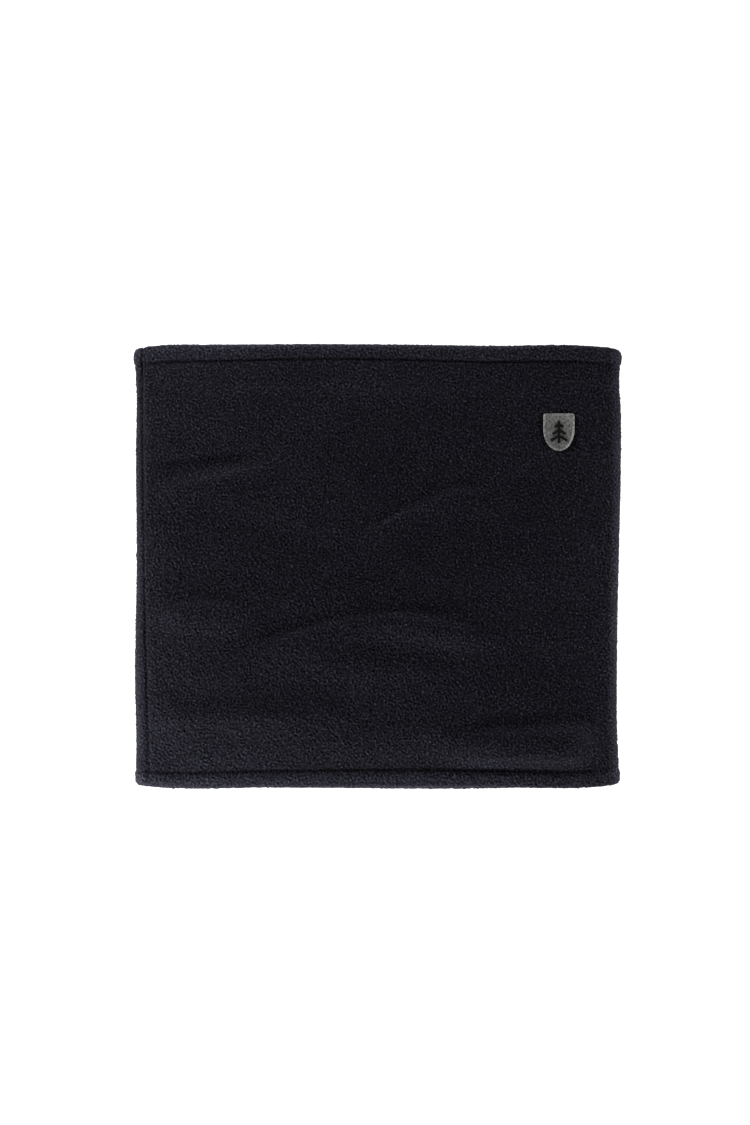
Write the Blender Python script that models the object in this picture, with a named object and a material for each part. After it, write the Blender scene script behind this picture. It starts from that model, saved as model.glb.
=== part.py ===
"""Fleece neck gaiter, lying flat and resting on its back.

One rectangular fleece panel is bent round into a tube. Its two short edges turn inwards side by
side and are overlocked as the side seam. Its two long edges are turned inside and stitched down as
the top and bottom hems. The threads, the embroidered badge with its backing, and the care label
are solids of their own.

Units are metres. +Z is up from the surface it lies on, +Y points to the top hem and +X to the
badge side. The origin is on that surface, under the middle of the gaiter.
Run it with: blender --background --python part.py
"""

import math

import bmesh
import bpy

# Overall size
WIDTH = 0.270            # from side fold to side fold, which is half the tube's girth
HEIGHT = 0.247           # from hem to hem
FOLD_HEIGHT = 0.0138     # height of the rounded side folds
CROWN = 0.0008           # rise of the front above the folds, at its middle

# Cloth and thread
PLY = 0.0020             # one layer of fleece
THREAD_RADIUS = 0.0002
CLEARANCE = 0.0003       # between neighbouring pieces

# Hems
HEM_DEPTH = 0.0090       # from the hem's edge to its stitch line
HEM_TURN = 0.0115        # from the hem's edge to the turned-in raw edge
HEM_THICKNESS = 2 * PLY + CLEARANCE
STITCH_GROOVE_DEPTH = 0.0008
STITCH_GROOVE_TOP = 0.0018
STITCH_GROOVE_FLOOR = 0.0012

# Side seam, which has rolled a little to the front of the left fold
SEAM_X = -0.1282
SEAM_TILT = math.radians(0.557)
SEAM_ALLOWANCE = 0.0065  # from the outer face to the overlocked edge
SEAM_MOUTH = 0.0016      # width of the groove that the seam pulls into the face
SEAM_LENGTH = HEIGHT - 2 * HEM_TURN - 2 * CLEARANCE
OVERLOCK_THICKNESS = 0.0004
OVERLOCK_BITE = 0.0022   # how far the overlock wraps up each side of the edge
NEEDLE_LINE = 0.0033     # depth of the side seam's needle stitches

# Badge
BADGE_X = 0.1010
BADGE_Y = 0.0746
BADGE_WIDTH = 0.0173
BADGE_HEIGHT = 0.0208
BADGE_CORNER = 0.0014
BADGE_TAPER = 0.0120     # height of the rounded lower part
BORDER_WIDTH = 0.0011
BORDER_THICKNESS = 0.0010
FILL_THICKNESS = 0.0007
MOTIF_THICKNESS = 0.0003
MOTIF_STROKE = 0.0011
MOTIF_TOP = 0.0062       # above the badge's middle
MOTIF_FOOT = -0.0062
MOTIF_BRANCHES = ((0.0042, 0.0026), (0.0010, 0.0038), (-0.0022, 0.0048))  # height, reach
MOTIF_DROP = 0.55        # fall of a branch for each unit of its reach
BACKING_MARGIN = 0.0025
BACKING_THICKNESS = 0.0003

# Care label, sewn into the side seam and lying under the front
LABEL_Y = -0.055
LABEL_WIDTH = 0.025
LABEL_LENGTH = 0.030
LABEL_THICKNESS = 0.0005
LABEL_ROOT = (0.0037, 0.0050)   # distance from the seam and depth where it leaves the seam
LABEL_RISE = 0.0080             # length over which it comes up to the front

# Facets
FOLD_STEPS = 12
FRONT_STEPS = 20
BACK_STEPS = 4
HEM_STEPS = 8
THREAD_SIDES = 6

FOLD_RADIUS = FOLD_HEIGHT / 2
FOLD_CENTRE_X = WIDTH / 2 - FOLD_RADIUS


def clear_scene():
    for old in list(bpy.data.objects):
        bpy.data.objects.remove(old, do_unlink=True)


def make_material(name, colour, roughness):
    material = bpy.data.materials.new(name)
    material.use_nodes = True
    shader = material.node_tree.nodes["Principled BSDF"]
    shader.inputs["Base Color"].default_value = (*colour, 1.0)
    shader.inputs["Roughness"].default_value = roughness
    shader.inputs["Metallic"].default_value = 0.0
    return material


def make_object(name, bm, material, parent=None):
    """Turns a bmesh into an object with its faces pointing out."""
    bmesh.ops.recalc_face_normals(bm, faces=bm.faces)
    mesh = bpy.data.meshes.new(name)
    bm.to_mesh(mesh)
    bm.free()
    made = bpy.data.objects.new(name, mesh)
    bpy.context.scene.collection.objects.link(made)
    if material is not None:
        mesh.materials.append(material)
    if parent is not None:
        made.parent = parent
    return made


def make_empty(name, location, rotation):
    empty = bpy.data.objects.new(name, None)
    empty.location = location
    empty.rotation_euler = rotation
    bpy.context.scene.collection.objects.link(empty)
    return empty


def as_cutter(made):
    made.hide_render = True
    made.display_type = "WIRE"
    return made


def add_boolean(target, tool, operation):
    modifier = target.modifiers.new(tool.name, "BOOLEAN")
    modifier.object = tool
    modifier.operation = operation
    modifier.solver = "EXACT"


# The tube's section

def front_height(x):
    """Height of the front's outer face, and its slope along X."""
    u = x / FOLD_CENTRE_X
    if abs(u) >= 1.0:
        return FOLD_HEIGHT, 0.0
    height = FOLD_HEIGHT + CROWN * (1 - u * u) ** 2
    slope = -4 * CROWN * u * (1 - u * u) / FOLD_CENTRE_X
    return height, slope


def tube_stations():
    """Points once round the outer face as (x, z), each with its inward direction."""
    stations = []
    for i in range(BACK_STEPS):
        x = FOLD_CENTRE_X * (2 * i / BACK_STEPS - 1)
        stations.append(((x, 0.0), (0.0, 1.0)))
    for i in range(FOLD_STEPS):
        angle = math.pi * (i / FOLD_STEPS - 0.5)
        stations.append(fold_station(FOLD_CENTRE_X, angle))
    for i in range(FRONT_STEPS):
        x = FOLD_CENTRE_X * (1 - 2 * i / FRONT_STEPS)
        height, slope = front_height(x)
        length = math.hypot(slope, 1.0)
        stations.append(((x, height), (slope / length, -1.0 / length)))
    for i in range(FOLD_STEPS):
        angle = math.pi * (i / FOLD_STEPS + 0.5)
        stations.append(fold_station(-FOLD_CENTRE_X, angle))
    return stations


def fold_station(centre_x, angle):
    outward = (math.cos(angle), math.sin(angle))
    point = (centre_x + FOLD_RADIUS * outward[0], FOLD_RADIUS + FOLD_RADIUS * outward[1])
    return point, (-outward[0], -outward[1])


def sweep_round_tube(name, section, material):
    """Carries a closed section of (y, depth) points once round the tube."""
    bm = bmesh.new()
    rings = []
    for (x, z), (inward_x, inward_z) in tube_stations():
        ring = [bm.verts.new((x + inward_x * d, y, z + inward_z * d)) for y, d in section]
        rings.append(ring)
    count = len(section)
    for here, there in zip(rings, rings[1:] + rings[:1]):
        for i in range(count):
            j = (i + 1) % count
            bm.faces.new((here[i], here[j], there[j], there[i]))
    return make_object(name, bm, material)


def hem_outline():
    """Half of the panel's section as (distance from the hem's edge, depth): from the outer face,
    round the folded edge, along the turned-in ply to its raw edge, and back between the plies."""
    groove = (STITCH_GROOVE_TOP / 2, STITCH_GROOVE_FLOOR / 2)
    inner_face = HEM_THICKNESS
    inner_floor = HEM_THICKNESS - STITCH_GROOVE_DEPTH
    points = [
        (HEM_DEPTH + groove[0], 0.0),
        (HEM_DEPTH + groove[1], STITCH_GROOVE_DEPTH),
        (HEM_DEPTH - groove[1], STITCH_GROOVE_DEPTH),
        (HEM_DEPTH - groove[0], 0.0),
    ]
    radius = HEM_THICKNESS / 2
    for i in range(HEM_STEPS + 1):
        angle = math.pi * i / HEM_STEPS
        points.append((radius - radius * math.sin(angle), radius - radius * math.cos(angle)))
    points += [
        (HEM_DEPTH - groove[0], inner_face),
        (HEM_DEPTH - groove[1], inner_floor),
        (HEM_DEPTH + groove[1], inner_floor),
        (HEM_DEPTH + groove[0], inner_face),
        (HEM_TURN, inner_face),
        (HEM_TURN, PLY + CLEARANCE),
        (radius, PLY + CLEARANCE),
        (radius, PLY),
    ]
    return points


def panel_section():
    half = hem_outline()
    top = [(HEIGHT / 2 - s, depth) for s, depth in half]
    bottom = [(s - HEIGHT / 2, depth) for s, depth in reversed(half)]
    return top + bottom


# The fleece panel

def extrude_along_y(name, section, length, material, parent, middle_y=0.0):
    """A prism along the parent's Y, from a closed section of (x, z) points."""
    bm = bmesh.new()
    ends = []
    for y in (middle_y - length / 2, middle_y + length / 2):
        ends.append([bm.verts.new((x, y, z)) for x, z in section])
    near, far = ends
    bm.faces.new(near)
    bm.faces.new(far)
    count = len(section)
    for i in range(count):
        j = (i + 1) % count
        bm.faces.new((near[i], near[j], far[j], far[i]))
    return make_object(name, bm, material, parent)


def make_fleece_panel(seam, material):
    """The tube with its turned-in hems. Two seam allowances hang inside the front, and one narrow
    cut from the face to their edges leaves the panel's two short edges side by side."""
    panel = sweep_round_tube("fleece_panel", panel_section(), material)
    half = PLY + CLEARANCE / 2
    rooted = -PLY / 2
    allowance_section = [
        (-half, -SEAM_ALLOWANCE), (half, -SEAM_ALLOWANCE), (half, rooted), (-half, rooted),
    ]
    allowances = extrude_along_y("seam_allowances", allowance_section, SEAM_LENGTH, None, seam)
    slot = CLEARANCE / 2
    above = 0.002
    mouth_depth = 0.0015
    widen = (SEAM_MOUTH / 2 - slot) * (above + mouth_depth) / mouth_depth
    cut_section = [
        (-slot, -SEAM_ALLOWANCE - CLEARANCE),
        (slot, -SEAM_ALLOWANCE - CLEARANCE),
        (slot, -mouth_depth),
        (slot + widen, above),
        (-slot - widen, above),
        (-slot, -mouth_depth),
    ]
    cut = extrude_along_y("seam_cut", cut_section, HEIGHT + 2 * above, None, seam)
    add_boolean(panel, as_cutter(allowances), "UNION")
    add_boolean(panel, as_cutter(cut), "DIFFERENCE")
    return panel


# Threads

def thread_section(middle_y, middle_depth):
    points = []
    for i in range(THREAD_SIDES):
        angle = 2 * math.pi * i / THREAD_SIDES
        y = middle_y + THREAD_RADIUS * math.cos(angle)
        points.append((y, middle_depth + THREAD_RADIUS * math.sin(angle)))
    return points


def make_hem_threads(material):
    """A needle thread in the groove on the outer face and a bobbin thread in the one inside."""
    lift = STITCH_GROOVE_DEPTH - CLEARANCE - THREAD_RADIUS
    for hem, side in (("top", 1), ("bottom", -1)):
        line_y = side * (HEIGHT / 2 - HEM_DEPTH)
        needle = thread_section(line_y, lift)
        bobbin = thread_section(line_y, HEM_THICKNESS - lift)
        sweep_round_tube(f"{hem}_hem_needle_thread", needle, material)
        sweep_round_tube(f"{hem}_hem_bobbin_thread", bobbin, material)


def make_seam_threads(seam, material):
    """The looper thread wraps the raw edges, and the needle thread runs above it."""
    inner = PLY + CLEARANCE / 2 + CLEARANCE
    outer = inner + OVERLOCK_THICKNESS
    floor = -SEAM_ALLOWANCE - CLEARANCE
    rim = -SEAM_ALLOWANCE + OVERLOCK_BITE - CLEARANCE
    wrap = [
        (-outer, rim), (-outer, floor - OVERLOCK_THICKNESS),
        (outer, floor - OVERLOCK_THICKNESS), (outer, rim),
        (inner, rim), (inner, floor), (-inner, floor), (-inner, rim),
    ]
    length = SEAM_LENGTH - 2 * CLEARANCE
    extrude_along_y("side_seam_looper_thread", wrap, length, material, seam)
    strand = []
    for i in range(THREAD_SIDES):
        angle = 2 * math.pi * i / THREAD_SIDES
        x = inner + THREAD_RADIUS + THREAD_RADIUS * math.cos(angle)
        strand.append((x, -NEEDLE_LINE + THREAD_RADIUS * math.sin(angle)))
    extrude_along_y("side_seam_needle_thread", strand, length, material, seam)


# Badge

def badge_outline(inset=0.0):
    """A flat-topped tab with small top corners and a blunt round foot, as (x, y) points."""
    half = BADGE_WIDTH / 2 - inset
    top = BADGE_HEIGHT / 2 - inset
    taper = BADGE_TAPER - inset
    shoulder = taper - (BADGE_HEIGHT / 2 - inset)
    corner = max(BADGE_CORNER - inset, 0.0003)
    points = []
    for side, first, last in ((1, 90, 0), (-1, 180, 90)):
        for i in range(5):
            angle = math.radians(first + (last - first) * i / 4)
            x = side * (half - corner) + corner * math.cos(angle)
            points.append((x, top - corner + corner * math.sin(angle)))
    right_corner, left_corner = points[:5], points[5:]
    steps = 20
    foot = []
    for i in range(steps + 1):
        angle = math.pi * i / steps
        foot.append((half * math.cos(angle), shoulder - taper * math.sin(angle)))
    return right_corner + foot + left_corner


def motif_outline():
    """A plain fir tree: a stem with three pairs of falling branches."""
    half = MOTIF_STROKE / 2
    right = [(half, MOTIF_TOP)]
    for height, reach in MOTIF_BRANCHES:
        fall = MOTIF_DROP * (reach - half)
        right += [
            (half, height),
            (reach, height - fall),
            (reach, height - fall - MOTIF_STROKE),
            (half, height - MOTIF_STROKE),
        ]
    right.append((half, MOTIF_FOOT))
    return right + [(-x, y) for x, y in reversed(right)]


def extrude_up(name, outline, low, high, material, parent):
    bm = bmesh.new()
    layers = [[bm.verts.new((x, y, z)) for x, y in outline] for z in (low, high)]
    bottom, top = layers
    bm.faces.new(bottom)
    bm.faces.new(top)
    count = len(outline)
    for i in range(count):
        j = (i + 1) % count
        bm.faces.new((bottom[i], bottom[j], top[j], top[i]))
    return make_object(name, bm, material, parent)


def make_border(low, high, material, parent):
    """The raised satin border, a closed band between two outlines."""
    bm = bmesh.new()
    loops = []
    for inset, z in ((0.0, low), (0.0, high), (BORDER_WIDTH, high), (BORDER_WIDTH, low)):
        loops.append([bm.verts.new((x, y, z)) for x, y in badge_outline(inset)])
    for here, there in zip(loops, loops[1:] + loops[:1]):
        count = len(here)
        for i in range(count):
            j = (i + 1) % count
            bm.faces.new((here[i], here[j], there[j], there[i]))
    return make_object("badge_border_thread", bm, material, parent)


def make_badge(materials):
    """Border, fill and motif on the front's outer face, backing and bobbin thread inside it."""
    height, slope = front_height(BADGE_X)
    tilt = (0.0, -math.atan(slope), 0.0)
    badge = make_empty("badge_place", (BADGE_X, BADGE_Y, height), tilt)
    base = CLEARANCE
    make_border(base, base + BORDER_THICKNESS, materials["badge_thread"], badge)
    fill_outline = badge_outline(BORDER_WIDTH + CLEARANCE)
    fill_top = base + FILL_THICKNESS
    extrude_up("badge_fill_thread", fill_outline, base, fill_top, materials["badge_thread"], badge)
    motif_base = fill_top + CLEARANCE
    motif_top = motif_base + MOTIF_THICKNESS
    extrude_up("badge_motif_thread", motif_outline(), motif_base, motif_top,
               materials["motif_thread"], badge)
    half_x = BADGE_WIDTH / 2 + BACKING_MARGIN
    half_y = BADGE_HEIGHT / 2 + BACKING_MARGIN
    corners = [(-half_x, -half_y), (half_x, -half_y), (half_x, half_y), (-half_x, half_y)]
    backing_top = -PLY - CLEARANCE
    backing_low = backing_top - BACKING_THICKNESS
    extrude_up("badge_backing", corners, backing_low, backing_top, materials["backing"], badge)
    bobbin_top = backing_low - CLEARANCE
    bobbin_low = bobbin_top - BACKING_THICKNESS
    extrude_up("badge_bobbin_thread", badge_outline(), bobbin_low, bobbin_top,
               materials["motif_thread"], badge)


# Care label

def make_care_label(seam, material):
    """A folded satin tape that leaves the seam and comes up to lie under the front."""
    root_x, root_depth = LABEL_ROOT
    rest_depth = PLY + CLEARANCE + LABEL_THICKNESS / 2
    steps = 16
    upper = []
    lower = []
    for i in range(steps + 1):
        along = LABEL_LENGTH * i / steps
        t = min(along / LABEL_RISE, 1.0)
        ease = t * t * (3 - 2 * t)
        depth = root_depth + (rest_depth - root_depth) * ease
        upper.append((root_x + along, LABEL_THICKNESS / 2 - depth))
        lower.append((root_x + along, -LABEL_THICKNESS / 2 - depth))
    section = upper + lower[::-1]
    extrude_along_y("care_label", section, LABEL_WIDTH, material, seam, LABEL_Y)


def build():
    clear_scene()
    materials = {
        "fleece": make_material("fleece", (0.012, 0.012, 0.015), 0.95),
        "sewing_thread": make_material("sewing_thread", (0.010, 0.010, 0.012), 0.55),
        "badge_thread": make_material("badge_thread", (0.165, 0.165, 0.160), 0.45),
        "motif_thread": make_material("motif_thread", (0.008, 0.008, 0.008), 0.50),
        "backing": make_material("backing", (0.030, 0.030, 0.032), 0.90),
        "label_satin": make_material("label_satin", (0.020, 0.020, 0.022), 0.40),
    }
    seam = make_empty("side_seam_line", (SEAM_X, 0.0, FOLD_HEIGHT), (0.0, 0.0, SEAM_TILT))
    make_fleece_panel(seam, materials["fleece"])
    make_hem_threads(materials["sewing_thread"])
    make_seam_threads(seam, materials["sewing_thread"])
    make_badge(materials)
    make_care_label(seam, materials["label_satin"])


build()
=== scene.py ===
"""Looks of the fleece neck gaiter: pile, hems, stitches, side seam, embroidered badge and label.

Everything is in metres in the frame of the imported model: +Z up, +Y to the top hem, +X to the badge.
"""

import math

import bpy
import numpy as np
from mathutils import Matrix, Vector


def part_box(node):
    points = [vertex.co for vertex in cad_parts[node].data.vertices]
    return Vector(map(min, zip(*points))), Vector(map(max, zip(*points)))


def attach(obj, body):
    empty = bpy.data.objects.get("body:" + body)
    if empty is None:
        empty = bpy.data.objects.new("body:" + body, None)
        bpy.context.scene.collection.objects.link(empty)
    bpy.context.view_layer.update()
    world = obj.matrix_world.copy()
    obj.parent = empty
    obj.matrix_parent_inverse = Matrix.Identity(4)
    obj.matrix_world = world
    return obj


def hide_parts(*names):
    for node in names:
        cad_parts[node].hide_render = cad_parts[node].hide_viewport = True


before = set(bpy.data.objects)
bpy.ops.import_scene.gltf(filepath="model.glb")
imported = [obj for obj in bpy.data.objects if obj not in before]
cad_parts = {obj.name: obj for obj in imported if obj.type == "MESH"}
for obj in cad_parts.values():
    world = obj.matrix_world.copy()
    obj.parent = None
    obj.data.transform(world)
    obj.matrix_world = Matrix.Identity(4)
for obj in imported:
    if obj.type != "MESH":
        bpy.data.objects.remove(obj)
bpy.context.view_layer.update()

MM = 0.001

# Sizes read from the frame

PANEL_LOW, PANEL_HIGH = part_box("fleece_panel")
NEEDLE_LOW, NEEDLE_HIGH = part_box("top_hem_needle_thread")
SEAM_LOW, SEAM_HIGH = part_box("side_seam_looper_thread")
BADGE_LOW, BADGE_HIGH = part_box("badge_border_thread")
BACKING_LOW, BACKING_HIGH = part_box("badge_backing")
LABEL_LOW, LABEL_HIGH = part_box("care_label")
HALF_WIDTH = (PANEL_HIGH.x - PANEL_LOW.x) / 2
HALF_HEIGHT = (PANEL_HIGH.y - PANEL_LOW.y) / 2
STITCH_Y = (NEEDLE_LOW.y + NEEDLE_HIGH.y) / 2
HEM_DEPTH = HALF_HEIGHT - STITCH_Y
BADGE_X = (BADGE_LOW.x + BADGE_HIGH.x) / 2
BADGE_Y = (BADGE_LOW.y + BADGE_HIGH.y) / 2
BADGE_WIDTH = BADGE_HIGH.x - BADGE_LOW.x
BADGE_HEIGHT = BADGE_HIGH.y - BADGE_LOW.y
LABEL_Y = (LABEL_LOW.y + LABEL_HIGH.y) / 2
LABEL_WIDTH = LABEL_HIGH.y - LABEL_LOW.y

# Cloth

PLY = 2.1 * MM                     # one layer of fleece
PLY_GAP = 0.3 * MM                 # between the plies of a hem
HEM_RADIUS = PLY + PLY_GAP / 2     # of the hem's folded edge
HEM_TURN = 11.5 * MM               # from the hem's edge to the turned-in raw edge
FOLD_RADIUS = 6.6 * MM             # of the side folds
UNDERSIDE = 0.35 * MM              # height of the back's mean face, whose pile touches the floor
PILE_HEIGHT = 0.20 * MM            # mean deviation of the pile's nubs
PILE_PERIOD = 1.75 * MM            # from nub to nub
STITCH_LENGTH = 3.0 * MM           # of the hems
SEAM_STITCH = 2.6 * MM             # of the side seam
THREAD = 0.17 * MM                 # radius of a sewing thread
GRID = 0.55 * MM
BACK_GRID = 1.0 * MM
INSIDE_GRID = 4.0 * MM
FLOOR_GAP = 0.02 * MM              # from the floor to the lowest nubs
INSIDE_PILE = 0.4                  # height of the inner face's pile, against the outer face's
INSIDE_WRAP = 60 * MM              # gives the inner face other nubs than the outer one
PALE_MEAN, PALE_STEP = 0.5, 0.18   # mean of the pile's colour, and what each deviation of its nubs adds as painted highlight and painted shade

# The front's slow shape: how high each swell or sag is, and over what distance it fades

SWELL, SWELL_REACH = 0.8 * MM, 8 * MM            # just inside the side folds
SAG, SAG_REACH = 2.0 * MM, 60 * MM               # of the middle, away from folds and hems
SAG_FROM_HEM = 50 * MM
HEM_SAG, HEM_SAG_REACH = 1.3 * MM, 70 * MM       # of the hems' middles
TOP_DROP, BOTTOM_DROP = -0.3 * MM, 1.0 * MM      # of the front at each hem
DROP_REACH, DROP_FROM_FOLD = 11 * MM, 16 * MM
HEM_WAVE, HEM_WAVE_REACH = 0.4 * MM, 14 * MM     # of the hems, up and down
HEM_WAVE_RUN, HEM_WAVE_FROM_FOLD = 29 * MM, 30 * MM  # its run for each radian
CALM_AT_FOLD, CALM_AT_HEM = 20 * MM, 9 * MM      # where the ridges fade at folds and hems
DRIFT_HEIGHT = 0.35 * MM                         # of the slow unevenness all over

# What the stitching does to the cloth: the depth and half width of each groove

STITCH_GROOVE, STITCH_GROOVE_WIDTH = 0.62 * MM, 0.60 * MM
STITCH_PULL, STITCH_PULL_WIDTH = 0.25 * MM, 2.2 * MM
STITCH_PUCKER = 0.08 * MM
HEM_BULGE = 0.6 * MM
SEAM_GROOVE, SEAM_GROOVE_WIDTH = 0.3 * MM, 0.6 * MM
SEAM_GROOVE_MORE = 0.5 * MM                      # added to its depth towards the top
SEAM_PULL, SEAM_PULL_WIDTH = 0.3 * MM, 2.2 * MM
FIRMNESS = 0.55       # share of the hem's groove and bulge that is missing at the side folds

# The badge presses the cloth down and its pile flat: wholly from so far inside its edge, and less
# and less outwards over the reach

BADGE_PRESS = 0.7 * MM
PRESS_INSIDE, PRESS_REACH = 1.0 * MM, 5.0 * MM
BARE_INSIDE, BARE_REACH = 1.6 * MM, 2.0 * MM

STRAIGHT = 2 * (HALF_WIDTH - FOLD_RADIUS)
BEND = math.pi * FOLD_RADIUS
GIRTH = 2 * (STRAIGHT + BEND)
STARTS = np.array([0.0, STRAIGHT, STRAIGHT + BEND, 2 * STRAIGHT + BEND])
LENGTHS = np.array([STRAIGHT, BEND, STRAIGHT, BEND])
BACK, RIGHT, FRONT, LEFT = range(4)

# How the outline wanders, as a few (place along it, offset) points in millimetres

LEFT_FOLD = ((-124, 0.6), (-116, 0.1), (-108, 0.4), (-60, -0.2), (0, 0.7), (60, 0.3), (108, 0.1),
             (117, -0.8), (124, 0.3))
RIGHT_FOLD = ((-124, -0.4), (-117, 0.2), (-108, -0.5), (-45, -1.2), (5, -0.3), (60, 0.9), (84, 0.9),
              (108, 0.1), (117, 1.1), (124, -0.6))
FRONT_TOP = ((-135, -2.0), (-130, -1.4), (-118, -0.4), (-90, -0.1), (20, -0.1), (60, -0.8),
             (118, -0.9), (130, -1.9), (135, -2.6))
BACK_TOP = ((-135, -2.2), (-118, -0.5), (-60, 0.3), (0, 0.4), (60, -0.1), (118, -1.2), (135, -2.8))
FRONT_BOTTOM = ((-135, 1.6), (-125, 0.6), (-60, 0.2), (0, 0.3), (60, 0.5), (125, 0.9), (135, 2.0))
BACK_BOTTOM = ((-135, 1.8), (-100, 0.5), (-30, -0.5), (60, -0.8), (100, 0.2), (135, 2.0))
TOP_HEM = ((-135, 0.6), (-115, 0.6), (-30, -0.6), (60, -0.1), (135, 0.2))
BOTTOM_HEM = ((-135, -0.4), (-70, 0.2), (0, 0.9), (80, 0.4), (135, 0.0))
SEAM_LINE = ((-124, -126.8), (-97, -127.4), (-47, -128.7), (9, -129.9), (65, -130.6), (124, -130.9))

# Soft ridges of the front: crest points, half width and height in millimetres. They lean towards
# the top hem, steep above the crest and gentle below it. A crease is a ridge of negative height.

RIDGE_LEAN = 0.42
RIDGES = (
    (((-162, 54), (-110, 57), (-50, 65)), 7.5, -2.4),
    (((-150, 40), (-105, 44), (-50, 57)), 7.5, 1.5),
    (((-162, -28), (-110, -25), (-56, -28)), 8.5, 2.5),
    (((-162, -84), (-100, -83), (-30, -85)), 9.0, 2.3),
    (((-98, -58), (-50, -42), (-14, -33), (10, -31), (50, -38), (84, -47)), 7.5, 2.7),
    (((-22, 5), (10, 25), (40, 38), (80, 43)), 6.0, 1.4),
    (((-34, -57), (0, -55), (64, -60)), 7.5, 0.25),
    (((24, -99), (90, -96), (150, -90)), 10.5, 4.3),
    (((16, -96), (40, -87), (74, -74)), 6.0, 1.0),
    (((70, 23), (100, 18), (134, 12)), 9.0, 1.4),
    (((-124, 92), (-60, 96), (60, 93)), 9.0, 0.9),
    (((-60, 26), (-20, 20), (30, 12)), 8.0, 0.5),
)


def through(points, at):
    """A smooth curve through a few (place, value) points, all in millimetres; at is in metres."""
    place, value = np.array(points, float).T * MM
    slope = np.gradient(value, place)
    at = np.clip(at, place[0], place[-1])
    i = np.clip(np.searchsorted(place, at, side="right") - 1, 0, len(place) - 2)
    step = place[i + 1] - place[i]
    t = (at - place[i]) / step
    rise = value[i + 1] - value[i]
    bend = (slope[i] * step - rise) * (1 - t) + (rise - slope[i + 1] * step) * t
    return value[i] + rise * t + t * (1 - t) * bend


def bell(distance, width):
    return np.exp(-((distance / width) ** 2))


def ease(t):
    t = np.clip(t, 0.0, 1.0)
    return t * t * (3 - 2 * t)


TILE_HEIGHT = 0.264


class Tile:
    """Noise of about one wavelength over (distance round the tube, height), repeating past its
    edges, with a mean deviation of 1."""

    def __init__(self, period, spread, seed, spacing):
        self.spacing = spacing
        self.shape = (int(round(TILE_HEIGHT / spacing)), int(round(GIRTH / spacing)))
        white = np.random.default_rng(seed).standard_normal(self.shape)
        up = np.fft.fftfreq(self.shape[0], spacing)[:, None]
        along = np.fft.fftfreq(self.shape[1], spacing)[None, :]
        band = np.exp(-(((np.hypot(up, along) * period) - 1.0) / spread) ** 2)
        band[0, 0] = 0.0
        field = np.fft.ifft2(np.fft.fft2(white) * band).real
        self.field = field / field.std()

    def at(self, around, up):
        row = (up / self.spacing) % self.shape[0]
        col = (around / self.spacing) % self.shape[1]
        i, j = np.floor(row).astype(int), np.floor(col).astype(int)
        s, t = row - i, col - j
        i, j = i % self.shape[0], j % self.shape[1]
        above, beside = (i + 1) % self.shape[0], (j + 1) % self.shape[1]
        low = self.field[i, j] * (1 - t) + self.field[i, beside] * t
        high = self.field[above, j] * (1 - t) + self.field[above, beside] * t
        return low * (1 - s) + high * s


NUBS = Tile(PILE_PERIOD, 0.62, seed=11, spacing=0.4 * MM)
CLUMPS = Tile(6.5 * MM, 0.5, seed=12, spacing=1.5 * MM)
DRIFT = Tile(38 * MM, 0.6, seed=13, spacing=6 * MM)


# The tube's outer face

def fold_centre(y, side):
    """x of the middle of a side fold's round."""
    if side > 0:
        return HALF_WIDTH - FOLD_RADIUS + through(RIGHT_FOLD, y)
    return FOLD_RADIUS - HALF_WIDTH + through(LEFT_FOLD, y)


def ridges(x, y):
    total = np.zeros(np.broadcast(x, y).shape)
    for crest, width, rise in RIDGES:
        first, last = crest[0][0] * MM, crest[-1][0] * MM
        share = (x - first) / (last - first)
        fade = ease(3 * share) * ease(3 * (1 - share))
        above = y - through(crest, x)
        lean = np.where(above > 0, 1 - RIDGE_LEAN, 1 + RIDGE_LEAN)
        total = total + rise * MM * fade * bell(above, width * lean * MM)
    return total


def front_height(x, y):
    """Height of the front's outer face without its pile, grooves and hem rolls. It swells a little
    just inside the folds and sags towards the middle."""
    to_fold = np.minimum(fold_centre(y, 1) - x, x - fold_centre(y, -1))
    to_fold = np.maximum(to_fold, 0.0)
    to_hem = np.maximum(STITCH_Y - np.abs(y), 0.0)
    near_hem = bell(to_hem, SAG_FROM_HEM)
    swell = SWELL * (1 - np.exp(-to_fold / SWELL_REACH))
    sag = SAG * (1 - bell(to_fold, SAG_REACH)) * (1 - near_hem)
    hem_sag = HEM_SAG * (1 - bell(to_fold, HEM_SAG_REACH)) * near_hem
    hem_drop = np.where(y > 0, TOP_DROP, BOTTOM_DROP) * bell(to_hem, DROP_REACH)
    hem_drop = hem_drop * ease(to_fold / DROP_FROM_FOLD)
    calm = ease(to_fold / CALM_AT_FOLD) * ease(to_hem / CALM_AT_HEM)
    waves = ridges(x, y) + DRIFT_HEIGHT * DRIFT.at(0.4 * x, y)
    hem_wave = HEM_WAVE * np.sin(x / HEM_WAVE_RUN + 2.2 * np.sign(y))
    hem_wave = hem_wave * ease(to_fold / HEM_WAVE_FROM_FOLD) * bell(to_hem, HEM_WAVE_REACH)
    base = 2 * FOLD_RADIUS + UNDERSIDE + swell - sag - hem_sag - hem_drop
    return base + waves * calm + hem_wave


def column(around):
    """The stretch that a distance round the tube lies on, and its place there from 0 to 1."""
    around = around % GIRTH
    stretch = np.searchsorted(STARTS, around, side="right") - 1
    return stretch, (around - STARTS[stretch]) / LENGTHS[stretch]


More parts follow.
